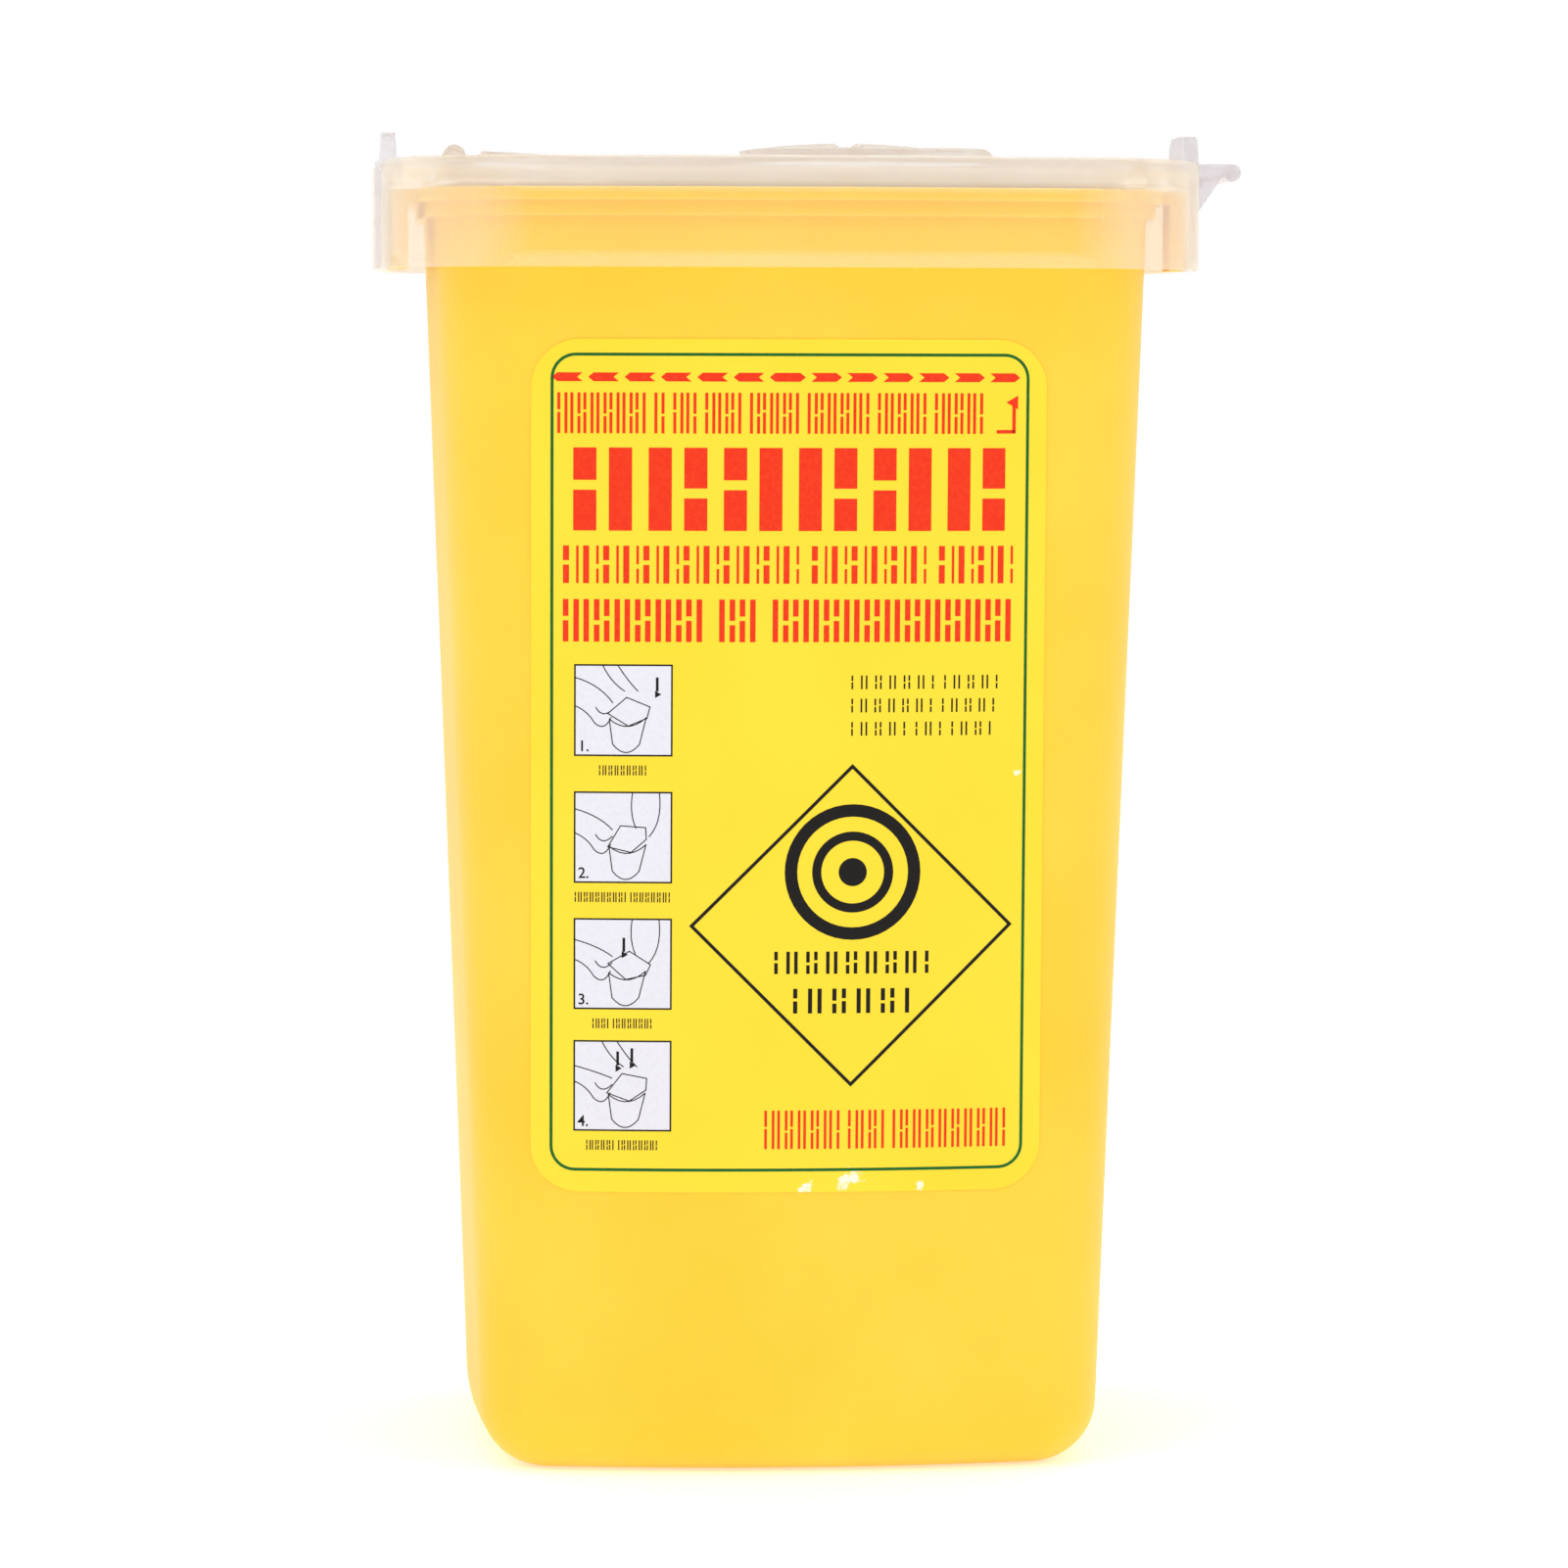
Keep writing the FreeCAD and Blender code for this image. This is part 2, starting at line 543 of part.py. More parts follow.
save("bin", make_bin())
save("lid", make_lid())
save("flap", make_flap())
right_clip = make_clip()
save("clip_right", right_clip)
save("clip_left", flipped(right_clip))
save("label", make_label())
print("lid width", round(LID_WIDTH, 2), "deck", round(DECK_Z, 2))
print("flap hinge axis", round(HINGE_X, 3), round(HINGE_Z, 3))
print("clip pivot", round(clip_pivot_x(), 3), CLIP_Y, round(CLIP_PIVOT_Z, 3))
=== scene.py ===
# %% [markdown]
# # A one-litre sharps container
# A tapered yellow bin with a frosted clip-on lid, a hinged flap and a printed label. The moulded pieces
# come from the CAD model and keep their shape. Here they get their plastics, and the label gets its print.

# %% Load the frame
import bpy
import bmesh
import math
from mathutils import Matrix, Vector


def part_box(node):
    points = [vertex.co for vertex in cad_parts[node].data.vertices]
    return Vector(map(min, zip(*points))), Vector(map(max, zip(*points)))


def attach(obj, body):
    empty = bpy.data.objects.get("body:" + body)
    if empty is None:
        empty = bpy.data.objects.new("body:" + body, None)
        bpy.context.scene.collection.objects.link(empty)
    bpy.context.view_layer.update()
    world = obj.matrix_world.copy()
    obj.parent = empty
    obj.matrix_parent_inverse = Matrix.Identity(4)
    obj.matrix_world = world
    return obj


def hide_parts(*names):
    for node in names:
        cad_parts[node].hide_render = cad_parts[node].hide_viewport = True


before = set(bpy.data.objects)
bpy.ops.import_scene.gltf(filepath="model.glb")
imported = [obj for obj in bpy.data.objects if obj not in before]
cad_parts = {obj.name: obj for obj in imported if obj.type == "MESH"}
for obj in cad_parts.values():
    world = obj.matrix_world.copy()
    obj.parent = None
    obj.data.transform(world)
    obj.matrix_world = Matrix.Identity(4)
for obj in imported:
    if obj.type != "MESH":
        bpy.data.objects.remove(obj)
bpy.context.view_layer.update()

MM = 0.001

# %% [markdown]
# ## Two helpers for materials
# Colours are picked as the sRGB hex values a designer would read off a colour card, so one function turns
# them linear. Every node goes through one small function, which sets its values and its links together.


# %% Colour and node helpers
def srgb(code):
    """Linear RGBA from a hex colour such as 'fdd83a'."""
    parts = [int(code[i : i + 2], 16) / 255 for i in (0, 2, 4)]
    return [p / 12.92 if p <= 0.04045 else ((p + 0.055) / 1.055) ** 2.4 for p in parts] + [1.0]


def add(tree, kind, inputs=None, **settings):
    """Adds a node. inputs maps a socket to a value or to the output that feeds it."""
    node = tree.nodes.new(kind)
    for name, value in settings.items():
        setattr(node, name, value)
    for name, value in (inputs or {}).items():
        if isinstance(value, bpy.types.NodeSocket):
            tree.links.new(value, node.inputs[name])
        else:
            node.inputs[name].default_value = value
    return node


def plastic(name):
    """A new material with one Principled shader; returns it, its nodes and its Object coordinates."""
    material = bpy.data.materials.new(name)
    material.use_nodes = True
    tree = material.node_tree
    tree.nodes.clear()
    shader = add(tree, "ShaderNodeBsdfPrincipled")
    add(tree, "ShaderNodeOutputMaterial", {"Surface": shader.outputs["BSDF"]})
    place = add(tree, "ShaderNodeTexCoord").outputs["Object"]
    return material, tree, shader, place


# %% [markdown]
# ## Yellow moulded polypropylene
# The bin is injection moulded in pigmented polypropylene. The mould is lightly blasted, so the skin is
# satin, with a very fine grain. The wall lets a little light in, so shadows on it stay warm. Where the
# melt flowed unevenly the colour is a touch deeper or paler over a few centimetres. Stacking and handling
# rub the edges of the rim and the lugs, so they are slightly paler, in patches.

# %% Bin plastic
GRAIN = 0.45 * MM  # blasted mould skin; drawn a little coarse so that it shows
CLOUD = 38 * MM  # size of the paler and deeper areas
RUB = 0.7 * MM  # how far the rub reaches in from an edge

bin_plastic, tree, shader, place = plastic("moulded_polypropylene_yellow")
cloud = add(
    tree,
    "ShaderNodeTexNoise",
    {"Vector": place, "Scale": 1 / CLOUD, "Detail": 3.0, "Roughness": 0.55},
)
tone = add(tree, "ShaderNodeValToRGB", {"Fac": cloud.outputs["Fac"]})
tone.color_ramp.elements[0].position = 0.3
tone.color_ramp.elements[0].color = srgb("fac61c")
tone.color_ramp.elements[1].position = 0.72
tone.color_ramp.elements[1].color = srgb("fdd036")
grain = add(tree, "ShaderNodeTexNoise", {"Vector": place, "Scale": 1 / GRAIN, "Detail": 2.0})
skin = add(tree, "ShaderNodeMapRange", {"Value": grain.outputs["Fac"], "To Min": 0.36, "To Max": 0.5})
relief = add(
    tree,
    "ShaderNodeBump",
    {"Height": grain.outputs["Fac"], "Strength": 0.12, "Distance": 0.02 * MM},
)
eased = add(tree, "ShaderNodeBevel", {"Radius": RUB}, samples=4).outputs["Normal"]
true = add(tree, "ShaderNodeNewGeometry").outputs["Normal"]
level = add(tree, "ShaderNodeVectorMath", {0: eased, 1: true}, operation="DOT_PRODUCT").outputs["Value"]
corner = add(
    tree,
    "ShaderNodeMapRange",
    {"Value": level, "From Min": 0.99, "From Max": 0.85, "To Min": 0.0, "To Max": 0.9},
).outputs[0]
rubbed = add(tree, "ShaderNodeMath", {0: corner, 1: cloud.outputs["Fac"]}, operation="MULTIPLY").outputs[0]
colour = add(tree, "ShaderNodeMix", {"Factor": rubbed, 7: srgb("ffe48c")}, data_type="RGBA")
tree.links.new(tone.outputs["Color"], colour.inputs[6])
tree.links.new(colour.outputs[2], shader.inputs["Base Color"])
tree.links.new(skin.outputs["Result"], shader.inputs["Roughness"])
tree.links.new(relief.outputs["Normal"], shader.inputs["Normal"])
shader.inputs["IOR"].default_value = 1.49
shader.inputs["Subsurface Weight"].default_value = 0.2
shader.inputs["Subsurface Radius"].default_value = (1.0, 0.7, 0.15)
shader.inputs["Subsurface Scale"].default_value = 2.0 * MM
print("bin grain", GRAIN / MM, "mm; cloud", CLOUD / MM, "mm")

# %% [markdown]
# ## Frosted polypropylene
# The lid, its clips and the flap are the same resin without pigment. It is milky because crystals in the
# plastic scatter light, so a thin wall veils what is behind it and a thick one hides it. Rough transmission
# would blur the yellow bin away, and the real lid shows it clearly. So each face is a haze: its Alpha says
# how much of the milk is seen, and it grows towards the edges, where the eye looks through more plastic.
# The lid is milkier above the bin's rim, at its lower lip and round its corners. The tints carry painted
# light:
# the flap is tinted warm, a painted glow of the yellow bin below it, and its finger tab is painted greyer
# than the rest, since it has only air behind it. The lid's corners and the clips are tinted greyer too, a
# painted shade, and every face has a faint painted glow that keeps the milk bright.


# %% Lid and flap plastics
def span(tree, value, low, high, bottom=0.0, top=1.0):
    """Runs from bottom to top while value goes from low to high, and stays level outside."""
    reach = {"Value": value, "From Min": low, "From Max": high, "To Min": bottom, "To Max": top}
    return add(tree, "ShaderNodeMapRange", reach).outputs[0]


def frosted(name, tints, haze, painted_glow, thick_at=None, painted_side_tint=None):
    """Natural polypropylene, and the haze of one face of it.

    thick_at lists places as (axis, low, high, bottom, top) that add haze, on Z or on the distance aside from
    the middle. The side-tint argument is (low, high, tint): a painted shade, a greyer tint that takes over
    further aside. The emission it sets is a painted glow that keeps the milky wall bright.
    """
    material, tree, shader, place = plastic(name)
    cloud = add(tree, "ShaderNodeTexNoise", {"Vector": place, "Scale": 1 / (9 * MM), "Detail": 4.0})
    tone = add(tree, "ShaderNodeValToRGB", {"Fac": cloud.outputs["Fac"]})
    tone.color_ramp.elements[0].position = 0.35
    tone.color_ramp.elements[0].color = srgb(tints[0])
    tone.color_ramp.elements[1].position = 0.7
    tone.color_ramp.elements[1].color = srgb(tints[1])
    tint = tone.outputs["Color"]
    fine = add(tree, "ShaderNodeTexNoise", {"Vector": place, "Scale": 1 / (1.6 * MM), "Detail": 3.0})
    rough = span(tree, fine.outputs["Fac"], 0.0, 1.0, 0.16, 0.3)
    relief = add(
        tree, "ShaderNodeBump", {"Height": fine.outputs["Fac"], "Strength": 0.15, "Distance": 0.03 * MM}
    )
    axes = add(tree, "ShaderNodeSeparateXYZ", {"Vector": place})
    aside = add(tree, "ShaderNodeMath", {0: axes.outputs["X"]}, operation="ABSOLUTE").outputs[0]
    milk = haze
    for axis, low, high, bottom, top in thick_at or ():
        more = span(tree, axes.outputs["Z"] if axis == "Z" else aside, low, high, haze + bottom, haze + top)
        milk = add(tree, "ShaderNodeMath", {0: milk, 1: more}, operation="MAXIMUM").outputs[0]
    # painted shade: further aside from the middle the tint turns greyer
    if painted_side_tint:
        low, high, painted_far_tint = painted_side_tint
        painted_side_mask = span(tree, aside, low, high)
        mix = add(tree, "ShaderNodeMix", {"Factor": painted_side_mask, 6: tint, 7: srgb(painted_far_tint)}, data_type="RGBA")
        tint = mix.outputs[2]
    facing = add(tree, "ShaderNodeLayerWeight", {"Blend": 0.5}).outputs["Facing"]
    edge = add(tree, "ShaderNodeMath", {0: facing, 1: 1.4}, operation="POWER").outputs[0]
    veil = add(tree, "ShaderNodeMath", {0: edge, 1: 0.45, 2: milk}, operation="MULTIPLY_ADD", use_clamp=True)
    tree.links.new(tint, shader.inputs["Base Color"])
    tree.links.new(rough, shader.inputs["Roughness"])
    tree.links.new(relief.outputs["Normal"], shader.inputs["Normal"])
    tree.links.new(veil.outputs[0], shader.inputs["Alpha"])
    shader.inputs["IOR"].default_value = 1.49
    shader.inputs["Subsurface Weight"].default_value = 0.8
    shader.inputs["Subsurface Radius"].default_value = (1.0, 0.95, 0.9)
    shader.inputs["Subsurface Scale"].default_value = 4 * MM
    shader.inputs["Emission Color"].default_value = srgb("ffe9cc")
    shader.inputs["Emission Strength"].default_value = painted_glow  # painted glow, standing in for stray light the milky wall would pass on
    return material


lid_low, lid_high = [Vector(corner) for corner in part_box("lid")]
rim_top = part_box("bin")[1].z
corner_start = lid_high.x - 19 * MM  # where the straight front wall starts to turn
lid_plastic = frosted(
    "moulded_polypropylene_natural",
    ("f8efe4", "fdf6ee"),
    haze=0.05,
    painted_glow=0.12,
    thick_at=(
        ("Z", rim_top - 0.9 * MM, rim_top + 0.7 * MM, 0.0, 0.17),
        ("Z", lid_low.z + 1.2 * MM, lid_low.z + 2.2 * MM, 0.085, 0.0),
        ("aside", corner_start, corner_start + 7 * MM, 0.0, 0.14),
    ),
    # painted shade: the lid's corners are tinted greyer
    painted_side_tint=(corner_start, corner_start + 9 * MM, "e6dccc"),
)
# painted shade: the clips get a greyer copy of the same resin
clip_plastic = frosted("moulded_polypropylene_natural_clip_painted_shade", ("d6cfd4", "e0dae0"), haze=0.28, painted_glow=0.03)
# painted light: the flap is tinted warm, as if lit through by the yellow bin below, and its tab is painted
# greyer
flap_plastic = frosted(
    "moulded_polypropylene_natural_flap_painted_warm_light",
    ("f0ddc6", "f8e8d4"),
    haze=0.24,
    painted_glow=0.06,
    thick_at=(("aside", lid_high.x - 2 * MM, lid_high.x, 0.0, 0.18),),
    painted_side_tint=(lid_high.x - 2 * MM, lid_high.x, "cfc9d3"),
)

# %% [markdown]
# ## Label film and inks
# The label is a glossy printed film. Its ground is a colder lemon yellow than the bin, and it lies almost
# flat, with a faint waviness where it was pressed on by hand. It is scuffed white in a few spots, most of
# them at the lower edge. The inks are thin opaque layers. They shine less than the film, with a fine grain.

# %% Label materials
label_film, tree, shader, place = plastic("printed_gloss_film_yellow")
patch = add(tree, "ShaderNodeTexNoise", {"Vector": place, "Scale": 1 / (22 * MM), "Detail": 2.0})
tone = add(tree, "ShaderNodeValToRGB", {"Fac": patch.outputs["Fac"]})
tone.color_ramp.elements[0].position = 0.3
tone.color_ramp.elements[0].color = srgb("f4d40f")
tone.color_ramp.elements[1].position = 0.75
tone.color_ramp.elements[1].color = srgb("f8da22")
wave = add(tree, "ShaderNodeTexNoise", {"Vector": place, "Scale": 1 / (14 * MM), "Detail": 1.0})
relief = add(
    tree, "ShaderNodeBump", {"Height": wave.outputs["Fac"], "Strength": 0.1, "Distance": 0.1 * MM}
)
gloss = add(tree, "ShaderNodeMapRange", {"Value": patch.outputs["Fac"], "To Min": 0.26, "To Max": 0.36})

label_low, label_high = [Vector(corner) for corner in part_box("label")]
SCUFFS = ((39.5, 1.6, 3.2), (48.5, 0.8, 1.8), (34.0, 0.6, 2.2), (60.0, 52.0, 1.2))  # mm right, mm up, radius
torn = add(
    tree,
    "ShaderNodeTexNoise",
    {"Vector": place, "Scale": 1 / (1.5 * MM), "Detail": 5.0, "Roughness": 0.7},
)
flat = add(tree, "ShaderNodeVectorMath", {0: place, 1: (1, 0, 1)}, operation="MULTIPLY").outputs[0]
worn = None
for right, up, radius in SCUFFS:
    spot = (label_low.x + right * MM, 0, label_low.z + up * MM)
    reach = add(tree, "ShaderNodeVectorMath", {0: flat, 1: spot}, operation="DISTANCE").outputs["Value"]
    near = add(
        tree, "ShaderNodeMapRange", {"Value": reach, "From Max": radius * MM, "To Min": 0.62, "To Max": 0.0}
    ).outputs[0]
    if worn is None:
        worn = near
    else:
        worn = add(tree, "ShaderNodeMath", {0: worn, 1: near}, operation="MAXIMUM").outputs[0]
depth = add(tree, "ShaderNodeMath", {0: worn, 1: torn.outputs["Fac"]}, operation="ADD").outputs[0]
bare = add(tree, "ShaderNodeMapRange", {"Value": depth, "From Min": 0.88, "From Max": 0.98}).outputs[0]
ground = add(tree, "ShaderNodeMix", {"Factor": bare, 7: srgb("fbf3dc")}, data_type="RGBA")
tree.links.new(tone.outputs["Color"], ground.inputs[6])
tree.links.new(ground.outputs[2], shader.inputs["Base Color"])
tree.links.new(gloss.outputs["Result"], shader.inputs["Roughness"])
tree.links.new(relief.outputs["Normal"], shader.inputs["Normal"])


def ink(name, thin, full):
    """Printing ink: its coverage varies a little over half a millimetre."""
    material, tree, shader, place = plastic(name)
    speck = add(tree, "ShaderNodeTexNoise", {"Vector": place, "Scale": 1 / (0.5 * MM), "Detail": 3.0})
    tone = add(tree, "ShaderNodeValToRGB", {"Fac": speck.outputs["Fac"]})
    tone.color_ramp.elements[0].position = 0.25
    tone.color_ramp.elements[0].color = srgb(thin)
    tone.color_ramp.elements[1].position = 0.6
    tone.color_ramp.elements[1].color = srgb(full)
    tree.links.new(tone.outputs["Color"], shader.inputs["Base Color"])
    grain = add(tree, "ShaderNodeMapRange", {"Value": speck.outputs["Fac"], "To Min": 0.24, "To Max": 0.36})
    tree.links.new(grain.outputs["Result"], shader.inputs["Roughness"])
    relief = add(
        tree, "ShaderNodeBump", {"Height": speck.outputs["Fac"], "Strength": 0.1, "Distance": 0.01 * MM}
    )
    tree.links.new(relief.outputs["Normal"], shader.inputs["Normal"])
    shader.inputs["Specular IOR Level"].default_value = 0.2
    return material


red_ink = ink("screen_ink_red", "ec3c12", "e82e06")
black_ink = ink("screen_ink_black", "100c06", "080603")
green_ink = ink("screen_ink_green", "0c6a26", "055c1e")
white_ink = ink("screen_ink_white", "dcdbe4", "e2e1ea")

# %% [markdown]
# ## Dress the moulded pieces
# The CAD nodes already have the right shape, so each only gets its material.


# %% Assign the plastics
def dress(node, material):
    piece = bpy.data.objects[node]
    for slot in piece.material_slots:
        slot.material = material


dress("bin", bin_plastic)
dress("lid", lid_plastic)
dress("clip_left", clip_plastic)
dress("clip_right", clip_plastic)
dress("flap", flap_plastic)

# %% [markdown]
# ## The true curve of the front wall
# The front wall is bowed and leans back, like a slice of a large cone. Rays shot at the bin at the label's
# foot and head give the radius and the centre of the bow. A cone built from them serves as a former: the
# film and the inks are cut flat, then pressed on to it, just as the real label is pressed on the bin.


# %% Cone former
def wall_bow(z, aside=20 * MM):
    """Radius and centre Y of the front wall's bow at height z, from two rays."""
    ys = []
    for x in (0.0, aside):
        hit, point, _normal, _face = bpy.data.objects["bin"].ray_cast(Vector((x, -1, z)), Vector((0, 1, 0)))
        assert hit, "the ray missed the bin"
        ys.append(point.y)
    rise = ys[1] - ys[0]
    radius = (aside * aside + rise * rise) / (2 * rise)
    return radius, ys[0] + radius


FORMER_SIDES = 1440
FORMER_SPARE = 4 * MM  # how far the former goes past the label, up and down
spans = (label_low.z - FORMER_SPARE, label_high.z + FORMER_SPARE)
bows = [wall_bow(z) for z in spans]
bow_centre = (bows[0][1] + bows[1][1]) / 2
radii = [bow_centre - (centre - radius) for radius, centre in bows]
print("wall bow radius in mm:", [round(r / MM, 2) for r in radii], "centre y:", round(bow_centre / MM, 2))

bpy.ops.object.select_all(action="DESELECT")
bpy.ops.mesh.primitive_cone_add(
    vertices=FORMER_SIDES,
    radius1=radii[0],
    radius2=radii[1],
    depth=spans[1] - spans[0],
    end_fill_type="NOTHING",
    location=(0, bow_centre, (spans[0] + spans[1]) / 2),
)
former = bpy.context.object
former.name = "label_former"
bpy.ops.object.transform_apply(location=True, rotation=True, scale=True)

# %% [markdown]
# ## Cutting and pressing
# Every printed layer is a sheet of flat shapes. The helpers below add them in edit mode, in millimetres
# from the top left corner of the printed border, with u to the right and v down. When a layer is finished
# it is sliced into narrow upright strips, so that it can bend, and shrinkwrapped on to the former.

# %% Sheet helpers
UNIT = 1.027 * MM  # one unit of the artwork
MARGIN_SIDE = 2.3  # paper left of the printed border, in units
MARGIN_TOP = 1.35
STAND_OFF = 10 * MM  # how far in front of the wall a sheet is drawn, before it is pressed on
STRIP = 2 * MM  # width of the slices a layer bends in
STANDING = math.pi / 2  # turns a flat shape upright, facing the front


def at(u, v):
    """A point of the sheet, standing in front of the bin."""
    return Vector(
        (
            label_low.x + (MARGIN_SIDE + u) * UNIT,
            label_low.y - STAND_OFF,
            label_high.z - (MARGIN_TOP + v) * UNIT,
        )
    )


def new_sheet(name):
    """Starts an empty layer and leaves it in edit mode."""
    bpy.ops.object.select_all(action="DESELECT")
    bpy.ops.mesh.primitive_plane_add(size=MM)
    sheet = bpy.context.object
    sheet.name = sheet.data.name = name
    bpy.ops.object.mode_set(mode="EDIT")
    bpy.ops.mesh.select_all(action="SELECT")
    bpy.ops.mesh.delete(type="VERT")
    return sheet


def bar(u, v, width, height, turn=0.0):
    """A filled rectangle centred on u, v, turned clockwise by turn."""
    bpy.ops.mesh.primitive_plane_add(size=UNIT, location=at(u, v), rotation=(STANDING, 0, 0))
    bpy.ops.transform.resize(value=(width, 1, height), center_override=at(u, v))
    if turn:
        bpy.ops.transform.rotate(value=-turn, orient_axis="Y", center_override=at(u, v))


def line(points, width):
    """A drawn line: one bar for each stretch between two points."""
    for (u0, v0), (u1, v1) in zip(points, points[1:]):
        length = math.hypot(u1 - u0, v1 - v0)
        bar((u0 + u1) / 2, (v0 + v1) / 2, length + width * 0.8, width, math.atan2(v1 - v0, u1 - u0))


def disc(u, v, radius, sides=48, turn=0.0):
    """A filled round shape, or a triangle with three sides."""
    bpy.ops.mesh.primitive_circle_add(
        vertices=sides,
        radius=radius * UNIT,
        fill_type="NGON",
        location=at(u, v),
        rotation=(STANDING, turn, 0),
    )


def hollow(width):
    """Turns the shape just added into its outline."""
    bpy.ops.mesh.inset(thickness=width * UNIT, use_boundary=True)
    bpy.ops.mesh.delete(type="FACE")


def press_on(sheet, lift, thickness, material):
    """Slices the sheet, presses it on the former and gives it its thickness; lift is its face's height."""
    bpy.ops.mesh.select_all(action="SELECT")
    edges = [v.co.x for v in bmesh.from_edit_mesh(sheet.data).verts]
    cut = math.ceil(min(edges) / STRIP) * STRIP
    while cut < max(edges):
        bpy.ops.mesh.select_all(action="SELECT")
        bpy.ops.mesh.bisect(plane_co=(cut, 0, 0), plane_no=(1, 0, 0))
        cut += STRIP
    bpy.ops.object.mode_set(mode="OBJECT")
    bpy.ops.object.transform_apply(location=True, rotation=True, scale=True)
    press = sheet.modifiers.new("press", "SHRINKWRAP")
    press.target = former
    press.wrap_method = "PROJECT"
    press.use_project_y = True
    press.use_positive_direction = True
    press.use_negative_direction = False
    press.offset = lift * MM
    bpy.ops.object.modifier_apply(modifier=press.name)
    body = sheet.modifiers.new("body", "SOLIDIFY")
    body.thickness = thickness * MM
    body.offset = -1
    bpy.ops.object.modifier_apply(modifier=body.name)
    bpy.ops.object.shade_smooth_by_angle(angle=math.radians(40))
    sheet.data.materials.append(material)
    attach(sheet, "base")
    ys = [v.co.y for v in sheet.data.vertices]
    print(sheet.name, "faces", len(sheet.data.polygons), "front y", round(min(ys) / MM, 3))


# %% [markdown]
# ## The film
# The label's ground is one sheet with rounded corners. Its faces end a hair inside the CAD film's, which
# leaves room for the ink on top.

# %% Film
FILM = 0.13  # height of the film's face above the wall, in mm
PANEL_FACE = 0.14
INK_FACE = 0.15
CORNER = 6.0  # radius of the paper's corners, in mm
paper_width = (label_high.x - label_low.x) / UNIT
paper_height = (label_high.z - label_low.z) / UNIT
middle_u = paper_width / 2 - MARGIN_SIDE
middle_v = paper_height / 2 - MARGIN_TOP

film = new_sheet("label_film")
bar(middle_u, middle_v, paper_width, paper_height)
bpy.ops.mesh.bevel(offset=CORNER * MM, segments=14, affect="VERTICES")
press_on(film, FILM, FILM, label_film)
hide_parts("label")

# %% [markdown]
# ## Green border
# A fine rounded frame runs parallel to the paper's edge.

# %% Border
BORDER_WIDTH, BORDER_HEIGHT, BORDER_LINE, BORDER_CORNER = 57.3, 98.5, 0.36, 3.1
BORDER_DROP = 0.33  # the border sits a little lower than the rest of the print
border = new_sheet("label_border")
bar(BORDER_WIDTH / 2, BORDER_HEIGHT / 2 + BORDER_DROP, BORDER_WIDTH, BORDER_HEIGHT)
bpy.ops.mesh.bevel(offset=BORDER_CORNER * MM, segments=10, affect="VERTICES")
hollow(BORDER_LINE)
press_on(border, INK_FACE, 0.03, green_ink)

# %% [markdown]
# ## Rows of marks
# Where a real label carries words, this one has plain marks: pairs of upright stems, one whole and one
# broken, grouped like words. They keep the weight and the rhythm of print and say nothing.


# %% Row helper
BREAKS = (0.45, 0.55)  # where the broken stem of a pair is cut, down its height


def marks(left, right, top, bottom, groups, stem, gap, second=None):
    """Fills a row with stem pairs. groups gives how many pairs each word has, gap the space between words."""
    second = second or stem
    pitch = (right - left - gap * (len(groups) - 1)) / sum(groups)
    wide = pitch * 0.78
    height = bottom - top
    slit = min(0.8 * stem, 0.12 * height)
    u, count = left, 0
    for size in groups:
        for _ in range(size):
            pair = [(u + stem / 2, stem), (u + wide - second / 2, second)]
            whole, broken = pair if count % 2 else pair[::-1]
            bar(whole[0], top + height / 2, whole[1], height)
            cut = height * BREAKS[count % 2]
            bar(broken[0], top + (cut - slit / 2) / 2, broken[1], cut - slit / 2)
            bar(broken[0], bottom - (height - cut - slit / 2) / 2, broken[1], height - cut - slit / 2)
            u += pitch
            count += 1
        u += gap


# %% [markdown]
# ## Red print
# A row of small arrows marks the highest filling. Under it come the rows of marks: a thin one, a heavy
# heading, and two of middle weight, then a last thin one at the bottom right.


# %% Red layer
def flight(u, v, length, height, left, right):
    """An arrow whose ends are pushed out or in by left and right, positive to the right."""
    bpy.ops.mesh.primitive_grid_add(
        x_subdivisions=1,
        y_subdivisions=2,
        size=UNIT,
        location=at(u, v),
        rotation=(STANDING, 0, 0),
    )
    bpy.ops.transform.resize(value=(length, 1, height), center_override=at(u, v))
    mesh = bmesh.from_edit_mesh(bpy.context.object.data)
    centre = at(u, v)
    for vert in [v for v in mesh.verts if v.select]:
        if abs(vert.co.z - centre.z) < 0.05 * UNIT:
            vert.co.x += (left if vert.co.x < centre.x else right) * UNIT
    bmesh.update_edit_mesh(bpy.context.object.data)


red = new_sheet("label_red_print")
ARROWS, ARROW_STEP, ARROW_SIZE, ARROW_POINT = 13, 4.31, (3.0, 1.05), 0.65
ARROW_MIDDLE = (BORDER_WIDTH / 2 - 0.5, 3.2)  # u and v of the arrow in the middle of the row
for n in range(ARROWS):
    steps = n - ARROWS // 2
    side = (steps > 0) - (steps < 0)
    ends = [end * ARROW_POINT for end in ((side, side) if side else (-1, 1))]
    flight(ARROW_MIDDLE[0] + steps * ARROW_STEP, ARROW_MIDDLE[1], *ARROW_SIZE, *ends)
marks(0.8, 52.0, 5.05, 9.9, (7, 1, 2, 3, 4, 5, 4, 4), stem=0.36, gap=0.7)
marks(2.7, 56.4, 11.6, 21.5, (1,) * 6, stem=2.75, gap=0)
marks(1.5, 56.0, 23.3, 27.8, (12, 6, 4), stem=0.72, gap=1.0, second=0.3)
marks(1.5, 55.8, 29.7, 34.8, (7, 2, 12), stem=0.66, gap=1.5)
marks(25.8, 55.5, 91.4, 96.1, (6, 3, 9), stem=0.32, gap=0.7)
line([(53.5, 9.65), (55.45, 9.65), (55.45, 6.25)], 0.42)
